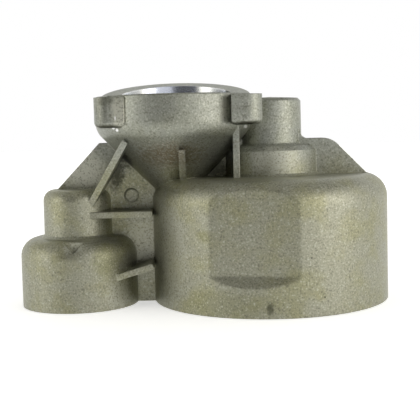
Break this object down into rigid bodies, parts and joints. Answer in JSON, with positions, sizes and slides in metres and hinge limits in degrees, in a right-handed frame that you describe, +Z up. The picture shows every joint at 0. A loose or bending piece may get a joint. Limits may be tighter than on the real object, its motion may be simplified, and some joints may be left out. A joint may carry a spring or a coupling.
{
  "type": "gearbox housing",
  "caption": "Die cast aluminium gear case with a round drum, a bearing tower, a stepped side boss and a ribbed funnel that carries the motor flange.",
  "frame": {"origin": "on the drum axis, in the plane of the open base", "axes": "+Z up along the drum axis towards the tower; +X from the side boss towards the drum; -Y is the front with the flat and the ribs"},
  "size_m": [0.1845, 0.1184, 0.1105],
  "materials": {
    "cast_aluminium": "cast"
  },
  "bodies": {
    "root": {"housing": "cast_aluminium"}
  },
  "joints": []
}
